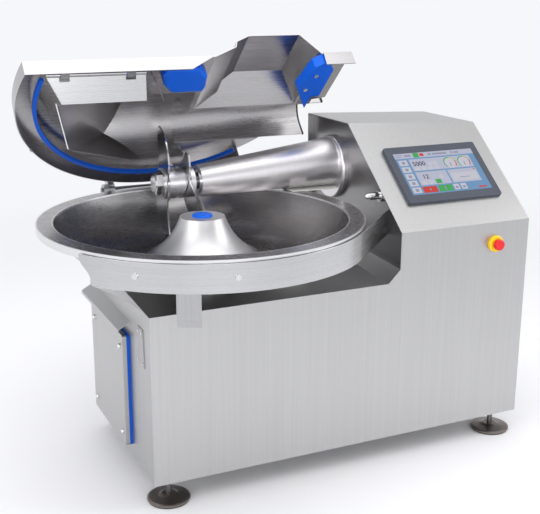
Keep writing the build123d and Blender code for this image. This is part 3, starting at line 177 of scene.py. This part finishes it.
# turned and blasted: a broad bright band along the cone, no sharp reflections; its colour is lighter
# than any other steel here, painted light standing in for the light that the cone catches
housing_steel_painted_light = brushed("turned_satin_stainless_painted_light", "e6e4e6", 0.36, BROAD_AROUND_SHAFT,
                        0.02, 0.02, 0.3 * UM)
# turned on a lathe and polished: bright and sharp, with faint rings across the shaft
polished_steel = brushed("turned_polished_stainless", "dcdcdc", 0.16, AROUND_SHAFT,
                         0.04, 0.03, 0.6 * UM)
# hardened and surface-ground: near a mirror, with grinding lines across the blade
knife_steel = brushed("ground_knife_steel", "d2d3d4", 0.16, ALONG_Y, 0.04, 0.03, 0.6 * UM)
# bent plates bolted on: the cabinet's steel, less finely ground, coloured darker as painted shade
# that sets them off from the cabinet
plate_steel_painted_shade = brushed("ground_stainless_plate_painted_shade", "b0b0b2", 0.33, UPRIGHT, 0.04, 0.04)
# cast, coloured dark brown-grey all over
foot_steel = brushed("cast_stainless_foot", "857e79", 0.33, (0.004, 0.004, 0.004), 0.05, 0.08)
# bare shafts and housings: dark grey with plain tool marks
dark_steel = brushed("machined_carbon_steel", "77777a", 0.3, (0.0008, 0.02, 0.02))
# food-safe blue: even, saturated and nearly without gloss
blue_plastic = moulded("machined_blue_polyethylene", "005ed8", 0.45, 0.0008,
                       Specular_IOR_Level=0.25)
blue_rubber = moulded("extruded_blue_silicone", "0052c0", 0.55, 0.001, Specular_IOR_Level=0.25)
# black and rough, with hardly a highlight
black_rubber = moulded("moulded_black_rubber", "161616", 0.65, 0.001)
# smooth from a polished mould: a clear soft highlight
red_plastic = moulded("moulded_red_polyamide", "dc1a22", 0.28, 0.0006, 0.00001)
yellow_plastic = moulded("moulded_yellow_polyamide", "f3c614", 0.33, 0.0006, 0.00001)
screen_plastic = moulded("moulded_screen_housing", "3a404c", 0.4, 0.0006, 0.00001)
# off-white, waxy
white_nylon = moulded("machined_white_nylon", "e3e2de", 0.45, 0.0008)
# rubbered cloth, dull and coarse
belt_cloth = moulded("woven_drive_belt", "1d1c1b", 0.7, 0.002, 0.0001)
# sprayed blue-grey with a slight orange peel, and sand-cast grey under primer
motor_enamel = moulded("sprayed_motor_enamel", "33465c", 0.38, 0.003, 0.00006)
cast_iron = moulded("primed_cast_iron", "4b4e51", 0.55, 0.0015, 0.0001)

# the wall beside the bowl is ground finer than the rest of the cabinet; its darker colour is painted
# shade, standing in for the dark bowl and lid that it reflects
WALL_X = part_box("shaft_housing")[1][0]
WALL_REACH = 0.0008
tree = cabinet_steel.node_tree
place = add_node(tree, "ShaderNodeTexCoord")
across = add_node(tree, "ShaderNodeSeparateXYZ", {"Vector": place.outputs["Object"]}).outputs["X"]
facing = add_node(tree, "ShaderNodeSeparateXYZ", {"Vector": place.outputs["Normal"]}).outputs["X"]
at_wall = add_node(tree, "ShaderNodeMath", {0: across}, {1: WALL_X, 2: WALL_REACH},
                   operation="COMPARE")
faces_bowl = add_node(tree, "ShaderNodeMath", {0: facing}, {1: -0.9}, operation="LESS_THAN")
painted_shade_on_wall = add_node(tree, "ShaderNodeMath", {0: at_wall.outputs[0], 1: faces_bowl.outputs[0]},
                   operation="MULTIPLY")
# painted shade: the colour of the wall beside the bowl is darkened here
zone(tree, tree.nodes["Principled BSDF"], painted_shade_on_wall.outputs[0], "969495", 0.3)

# the bowl's middle cone is ground from its top down and is rougher than the turned trough; it keeps
# a lighter colour, while the trough's colour is darkened as painted shade
CONE_R, TROUGH_START_R = 0.15, 0.2
RIM_INNER_R, RIM_OUTER_R, HIGHLIGHT_HALF_W = 0.498, 0.5515, 0.0028
bowl_low, bowl_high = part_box("bowl")
bowl_middle = [(low + high) / 2 for low, high in zip(bowl_low, bowl_high)]
tree = bowl_steel_painted_shade.node_tree
flat = add_node(tree, "ShaderNodeVectorMath", {0: object_place(tree)}, {1: (1, 1, 0)},
                operation="MULTIPLY")
reach = add_node(tree, "ShaderNodeVectorMath", {0: flat.outputs[0]},
                 {1: (bowl_middle[0], bowl_middle[1], 0)}, operation="DISTANCE")
on_cone = add_node(tree, "ShaderNodeMapRange", {"Value": reach.outputs["Value"]},
                   {"From Min": CONE_R, "From Max": TROUGH_START_R, "To Min": 1.0, "To Max": 0.0})
zone(tree, tree.nodes["Principled BSDF"], on_cone.outputs[0], "d2d2d3", 0.42)
# painted highlight: the rim's two edges are coloured bright, standing in for the highlight lines
# along them
for edge in (RIM_INNER_R, RIM_OUTER_R):
    rim_highlight = add_node(tree, "ShaderNodeMath", {0: reach.outputs["Value"]},
                       {1: edge, 2: HIGHLIGHT_HALF_W}, operation="COMPARE")
    zone(tree, tree.nodes["Principled BSDF"], rim_highlight.outputs[0], "e6e6e7", 0.3)

finishes = {
    cabinet_steel: ("cabinet_shell", "hatch_panel", "side_hood", "rear_cover", "bottom_plate",
                    "left_gusset", "hinge_bracket"),
    plate_steel_painted_shade: ("side_plate", "drain_spout"),
    foot_steel: ("foot_discs",),
    level_steel: ("bowl_guard", "splash_flap", "flap_hinge_blocks", "lid_arms"),
    lid_steel: ("lid_shell", "feed_hood", "knife_hood", "shaft_cover"),
    bowl_steel_painted_shade: ("bowl",),
    housing_steel_painted_light: ("shaft_housing", "probe_tip", "knife_clamp_rings"),
    polished_steel: ("shaft_seals", "knife_nut", "probe_body",
                     "button_screws", "hex_bolts", "scraper_block_screws"),
    knife_steel: ("knives",),
    dark_steel: ("bearing_sleeve", "bowl_spindle", "bowl_pulley", "foot_stems", "gearmotor_output",
                 "knife_shaft", "lid_hinge_pin", "motor_shaft", "shaft_bearings", "spindle_housing"),
    blue_plastic: ("bowl_cap", "hub_scraper_block", "rim_scraper_block", "flap_bushes"),
    blue_rubber: ("hatch_gasket", "lid_gasket"),
    black_rubber: ("foot_pads", "shaft_cover_seal", "lid_buffer"),
    belt_cloth: ("bowl_belt", "knife_belts"),
    red_plastic: ("estop_button",),
    yellow_plastic: ("estop_collar",),
    screen_plastic: ("screen_frame",),
    white_nylon: ("hinge_bushes", "rim_wiper"),
    motor_enamel: ("bowl_gearmotor", "knife_motor"),
    cast_iron: ("knife_pulley", "motor_pulley"),
}
for material, names in finishes.items():
    for name in names:
        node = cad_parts[name]
        node.data.materials.clear()
        node.data.materials.append(material)


# ---------------------------------------------------------------- bolt heads
def hexagon_head(across, height):
    """Points and faces of a bolt head standing on z = 0.

    The radius is half the flats' distance over the cosine of the angle from the nearest flat's
    middle; the top edge drops at 30 degrees wherever that radius passes a crown circle.
    """
    turn = np.radians(np.arange(0, 360, 10))
    side = across / 2 / np.cos((turn + math.pi / 6) % (math.pi / 3) - math.pi / 6)
    crown = 0.475 * across
    shoulder = height - np.maximum(side - crown, 0) * math.tan(math.radians(30))
    radius = np.stack([side, side, np.minimum(side, crown)])
    level = np.stack([0 * side, shoulder, 0 * side + height])
    points = np.stack([radius * np.cos(turn), radius * np.sin(turn), level], -1).reshape(-1, 3)
    count = len(turn)
    ring = np.arange(2 * count)
    beside = ring - ring % count + (ring + 1) % count
    quads = np.stack([ring, beside, beside + count, ring + count], 1).tolist()
    return points, quads + [list(range(2 * count, 3 * count)), list(range(count))[::-1]]


# the bracket's bolts stand in two rows of three inside its plate, the spindle's on a circle;
# four of the bracket's six aren't where hex_bolts has them: the node's own hang free of the
# plate, a fault of the CAD that this piece covers and doesn't mend
BRACKET_HEAD_W, BRACKET_HEAD_H = 0.0173, 0.008
BRACKET_STEP, BRACKET_ROWS = 0.1485, (0.55, 0.67)
SPINDLE_HEAD_W, SPINDLE_HEAD_H, SPINDLE_CIRCLE_R = 0.0138, 0.007, 0.076
FACING_BACK = np.array([(1, 0, 0), (0, 0, -1), (0, 1, 0)])
FACING_UP = np.eye(3)
plate_low, plate_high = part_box("hinge_bracket")
bolt_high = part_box("hex_bolts")[1]
columns = (plate_low.x + plate_high.x) / 2 + BRACKET_STEP * np.array([-1, 0, 1])
bracket_bolts = [(x, bolt_high.y - BRACKET_HEAD_H, z) for x in columns for z in BRACKET_ROWS]
spindle_turn = np.radians(np.arange(0, 360, 60))
spindle_bolts = np.stack([bowl_middle[0] + SPINDLE_CIRCLE_R * np.cos(spindle_turn),
                          bowl_middle[1] + SPINDLE_CIRCLE_R * np.sin(spindle_turn),
                          0 * spindle_turn + bolt_high.z - SPINDLE_HEAD_H], 1)
head_points, head_faces = [], []
for middles, across, height, outward in (
        (np.array(bracket_bolts), BRACKET_HEAD_W, BRACKET_HEAD_H, FACING_BACK),
        (spindle_bolts, SPINDLE_HEAD_W, SPINDLE_HEAD_H, FACING_UP)):
    points, faces = hexagon_head(across, height)
    for middle in middles:
        first = sum(len(part) for part in head_points)
        head_points.append(points @ outward + middle)
        head_faces += [[first + corner for corner in face] for face in faces]
mesh = bpy.data.meshes.new("hex_bolt_heads")
mesh.from_pydata(np.concatenate(head_points).tolist(), [], head_faces)
mesh.materials.append(polished_steel)
bolt_heads = bpy.data.objects.new("hex_bolt_heads", mesh)
bpy.context.scene.collection.objects.link(bolt_heads)
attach(bolt_heads, "machine")
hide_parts("hex_bolts")


# ---------------------------------------------------------------- operator screen
SLOPE = math.radians(39.5)
STROKE = 0.0003             # added all round a digit's strokes
DISPLAY_T = 0.75
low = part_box("screen_display")[0]
screen_origin = Vector((low.x, low.y, low.z + DISPLAY_T * MM * math.cos(SLOPE)))
screen_up = Vector((0, math.cos(SLOPE), math.sin(SLOPE)))
screen_out = Vector((0, -math.sin(SLOPE), math.cos(SLOPE)))


def on_screen(u, v, lift=0.0):
    """Points on the display from arrays of millimetres along it, up it and off it."""
    along = np.multiply.outer(np.asarray(u, float), (1.0, 0.0, 0.0))
    up = np.multiply.outer(np.asarray(v, float), screen_up)
    return np.array(screen_origin) + MM * (along + up + lift * np.array(screen_out))


def lit(name, colour):
    """Display pixels under glass: they glow in their own colour and shine a little."""
    material, tree, shader = new_material(name, "101216", 0.0, 0.3, Specular_IOR_Level=0.25)
    shader.inputs["Emission Color"].default_value = linear(colour)
    shader.inputs["Emission Strength"].default_value = 0.62
    return material


def fix_on_screen(mesh, material):
    """Mesh on the display as a piece that rides with the cabinet."""
    mesh.materials.clear()
    mesh.materials.append(material)
    piece = bpy.data.objects.new(mesh.name, mesh)
    bpy.context.scene.collection.objects.link(piece)
    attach(piece, "machine")


def screen_piece(name, points, faces, material):
    """Piece on the display from arrays of points and faces."""
    mesh = bpy.data.meshes.new(name)
    mesh.from_pydata(points.tolist(), [], faces.tolist())
    fix_on_screen(mesh, material)


def tiles(name, boxes, lift, material):
    """Flat rectangles as one piece: each row of boxes is left, bottom, right and top."""
    boxes = np.array(boxes, float)
    points = on_screen(boxes[:, [0, 2, 2, 0]].ravel(), boxes[:, [1, 1, 3, 3]].ravel(), lift)
    screen_piece(name, points, np.arange(len(points)).reshape(-1, 4), material)


def arc_strip(name, centre, inner, outer, start, end, lift, material):
    """Strip of a round gauge: two radii swept through an angle in degrees, joined by quads."""
    angle = np.radians(np.linspace(start, end, 33))
    radius = np.array([[inner], [outer]])
    points = on_screen((centre[0] + radius * np.cos(angle)).ravel(),
                       (centre[1] + radius * np.sin(angle)).ravel(), lift)
    step = np.arange(len(angle) - 1)
    faces = np.stack([step + 1, step, step + len(angle), step + len(angle) + 1], 1)
    screen_piece(name, points, faces, material)


def digits(name, text, left, bottom, size, lift, material):
    """Plain digits on the display: filled outlines, widened a little, turned into a mesh."""
    curve = bpy.data.curves.new(name, "FONT")
    curve.body = text
    curve.size = size * MM
    curve.offset = STROKE
    holder = bpy.data.objects.new(name + "_outline", curve)
    mesh = bpy.data.meshes.new_from_object(holder)
    bpy.data.objects.remove(holder)
    turn = Matrix((Vector((1, 0, 0)), screen_up, screen_out)).transposed().to_4x4()
    turn.translation = Vector(on_screen(left, bottom, lift))
    mesh.transform(turn)
    mesh.name = name
    fix_on_screen(mesh, material)


# display colours: muted blue ground, pale panels, plain signal colours
sky_blue = lit("display_blue", "7fb0e0")
pale = lit("display_pale_panel", "d9dcf2")
paler = lit("display_light_panel", "e9e9f6")
shade = lit("display_grey", "a9adc4")
ink = lit("display_ink", "1b1e24")
green = lit("display_green", "46c463")
red = lit("display_red", "f0412c")
amber = lit("display_amber", "e0d27a")
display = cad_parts["screen_display"]
display.data.materials.clear()
display.data.materials.append(sky_blue)

tiles("screen_top_bar", [(0, 170, 344, 194)], 0.1, pale)
tiles("screen_panels", [(54, 108, 318, 164), (54, 40, 186, 102), (192, 40, 318, 102)], 0.1, pale)
tiles("screen_side_keys", [(8, 8 + 32 * i, 44, 34 + 32 * i) for i in range(5)], 0.1, paler)
tiles("screen_key_marks", [(20, 15 + 32 * i, 33, 27 + 32 * i) for i in range(5)], 0.2, shade)
tiles("screen_small_keys", [(62 + 28 * i, 111, 84 + 28 * i, 124) for i in range(4)]
      + [(62 + 28 * i, 44, 84 + 28 * i, 60) for i in range(2)]
      + [(148, 66, 164, 82), (128, 128, 144, 146), (150, 128, 166, 146)], 0.2, paler)
tiles("screen_bar_marks", [(6, 176, 30, 179), (6, 184, 34, 187), (44, 178, 72, 186),
                           (146, 178, 160, 187), (166, 178, 228, 186), (248, 177, 254, 189),
                           (260, 178, 282, 186)], 0.2, shade)
tiles("screen_green_keys", [(82, 171, 106, 193), (122, 44, 146, 64), (118, 6, 178, 34)], 0.2, green)
tiles("screen_red_key", [(52, 6, 112, 34)], 0.2, red)
tiles("screen_red_marks", [(110, 176, 128, 189), (306, 94, 312, 99), (290, 8, 324, 15)], 0.2, red)
tiles("screen_graph", [(200, 48, 312, 86)], 0.2, paler)
tiles("screen_graph_line", [(232, 62, 276, 65)], 0.3, shade)
tiles("screen_tools", [(184, 8, 208, 34), (216, 8, 240, 34)], 0.2, paler)
tiles("screen_tool_marks", [(190, 14, 202, 24), (222, 14, 234, 24), (79, 16, 86, 24),
                            (144, 12, 150, 28)], 0.3, shade)
for gauge_number, gauge_x in enumerate((222, 284)):
    gauge_centre = (gauge_x, 134)
    arc_strip(f"screen_gauge_face_{gauge_number}", gauge_centre, 0, 25, 0, 360, 0.2, paler)
    arc_strip(f"screen_gauge_green_{gauge_number}", gauge_centre, 23, 27, 80, 225, 0.3, green)
    arc_strip(f"screen_gauge_amber_{gauge_number}", gauge_centre, 23, 27, 20, 80, 0.3, amber)
    arc_strip(f"screen_gauge_red_{gauge_number}", gauge_centre, 23, 27, -40, 20, 0.3, red)
    tiles(f"screen_gauge_hand_{gauge_number}", [(gauge_x - 1, 118, gauge_x + 1, 136)], 0.4, ink)
digits("screen_speed_digits", "5000", 62, 132, 27, 0.3, ink)
digits("screen_minute_digits", "12", 76, 70, 27, 0.3, ink)

# ---------------------------------------------------------------- studio
scene = bpy.context.scene
scene.view_settings.view_transform = "Standard"
BACKGROUND = "f6f7fa"
FLOOR_R = 9.0
MIDDLE = (0.5, 0.3, 0.9)    # what the lamps aim at, with the floor's centre below it
FADE_START, FADE_END = 1.2, 5.0
floor_turn = np.radians(np.arange(0, 360, 5))
floor_mesh = bpy.data.meshes.new("studio_floor")
floor_mesh.from_pydata(np.stack([MIDDLE[0] + FLOOR_R * np.cos(floor_turn),
                                 MIDDLE[1] + FLOOR_R * np.sin(floor_turn),
                                 0 * floor_turn], 1).tolist(), [], [list(range(len(floor_turn)))])
floor = bpy.data.objects.new("studio_floor", floor_mesh)
scene.collection.objects.link(floor)
# painted floor that fades into the background away from the machine
floor_paint, tree, shader = new_material("painted_studio_floor", "f3f3f5", 0.0, 0.6)
floor_mesh.materials.append(floor_paint)
away = add_node(tree, "ShaderNodeVectorMath", {0: object_place(tree)},
                {1: (MIDDLE[0], MIDDLE[1], 0.0)}, operation="DISTANCE")
fade = add_node(tree, "ShaderNodeMapRange", {"Value": away.outputs["Value"]},
                {"From Min": FADE_START, "From Max": FADE_END, "To Min": 0.0, "To Max": 1.0},
                interpolation_type="SMOOTHSTEP")
# what only the camera, metal and glass see of it, so that it puts no light on the machine
ray = add_node(tree, "ShaderNodeLightPath").outputs
seen = add_node(tree, "ShaderNodeMath", {0: ray["Is Camera Ray"], 1: ray["Is Glossy Ray"]},
                operation="MAXIMUM")
seen = add_node(tree, "ShaderNodeMath", {0: seen.outputs[0], 1: ray["Is Transmission Ray"]},
                operation="MAXIMUM")
seen = add_node(tree, "ShaderNodeMath", {0: seen.outputs[0], 1: fade.outputs[0]},
                operation="MULTIPLY")
glow = add_node(tree, "ShaderNodeEmission", values={"Color": linear(BACKGROUND), "Strength": 1.0})
blend = add_node(tree, "ShaderNodeMixShader",
                 {0: seen.outputs[0], 1: shader.outputs[0], 2: glow.outputs[0]})
tree.links.new(blend.outputs[0], tree.nodes["Material Output"].inputs["Surface"])

world = bpy.data.worlds.new("studio_light")
scene.world = world
world.use_nodes = True
tree = world.node_tree
tree.nodes.clear()
# pale all round, with one dark band above the horizon that gives the steel its contrast
direction = add_node(tree, "ShaderNodeTexCoord").outputs["Generated"]
split = add_node(tree, "ShaderNodeSeparateXYZ", {"Vector": direction})
height = add_node(tree, "ShaderNodeMapRange", {"Value": split.outputs["Z"]},
                  {"From Min": -1.0, "From Max": 1.0})
ramp = add_node(tree, "ShaderNodeValToRGB", {"Fac": height.outputs[0]})
stops = ramp.color_ramp.elements
stops[0].position, stops[0].color = 0.0, linear(BACKGROUND)
stops[1].position, stops[1].color = 1.0, linear("f2f2f4")
for position, colour in ((0.66, BACKGROUND), (0.71, "aeaeb0"), (0.75, "808082"), (0.80, "c4c4c6"),
                         (0.86, "f2f2f4")):
    stop = stops.new(position)
    stop.color = linear(colour)
light = add_node(tree, "ShaderNodeBackground", {"Color": ramp.outputs[0]}, {"Strength": 1.0})
add_node(tree, "ShaderNodeOutputWorld", {"Surface": light.outputs[0]})


def soft_light(name, place, width, height, power):
    """Rectangular studio softbox aimed at the machine's middle; metres and watts."""
    lamp = bpy.data.lights.new(name, "AREA")
    lamp.shape = "RECTANGLE"
    lamp.size = width
    lamp.size_y = height
    lamp.energy = power
    holder = bpy.data.objects.new(name, lamp)
    holder.location = place
    holder.rotation_euler = (Vector(MIDDLE) - Vector(place)).to_track_quat("-Z", "Y").to_euler()
    scene.collection.objects.link(holder)


soft_light("left_softbox", (-3.2, -1.2, 2.6), 3.2, 3.2, 64)
soft_light("right_softbox", (3.8, -1.6, 2.8), 1.6, 2.6, 50)
soft_light("top_softbox", (0.3, 0.2, 4.0), 4.0, 3.4, 60)
soft_light("front_fill", (-0.6, -4.5, 1.6), 3.0, 1.2, 40)

# ---------------------------------------------------------------- camera
camera_data = bpy.data.cameras.new("view")
camera_data.sensor_width = 36.0
camera_data.lens = 65.1
camera = bpy.data.objects.new("view", camera_data)
CAMERA_PLACE = Vector((-0.937, -2.821, 1.684))
HEADING, TILT, ROLL = (math.radians(angle) for angle in (-24.92, 74.21, 0.2))
camera.matrix_world = (Matrix.Translation(CAMERA_PLACE) @ Matrix.Rotation(HEADING, 4, "Z")
                       @ Matrix.Rotation(TILT, 4, "X") @ Matrix.Rotation(ROLL, 4, "Z"))
scene.collection.objects.link(camera)
scene.camera = camera
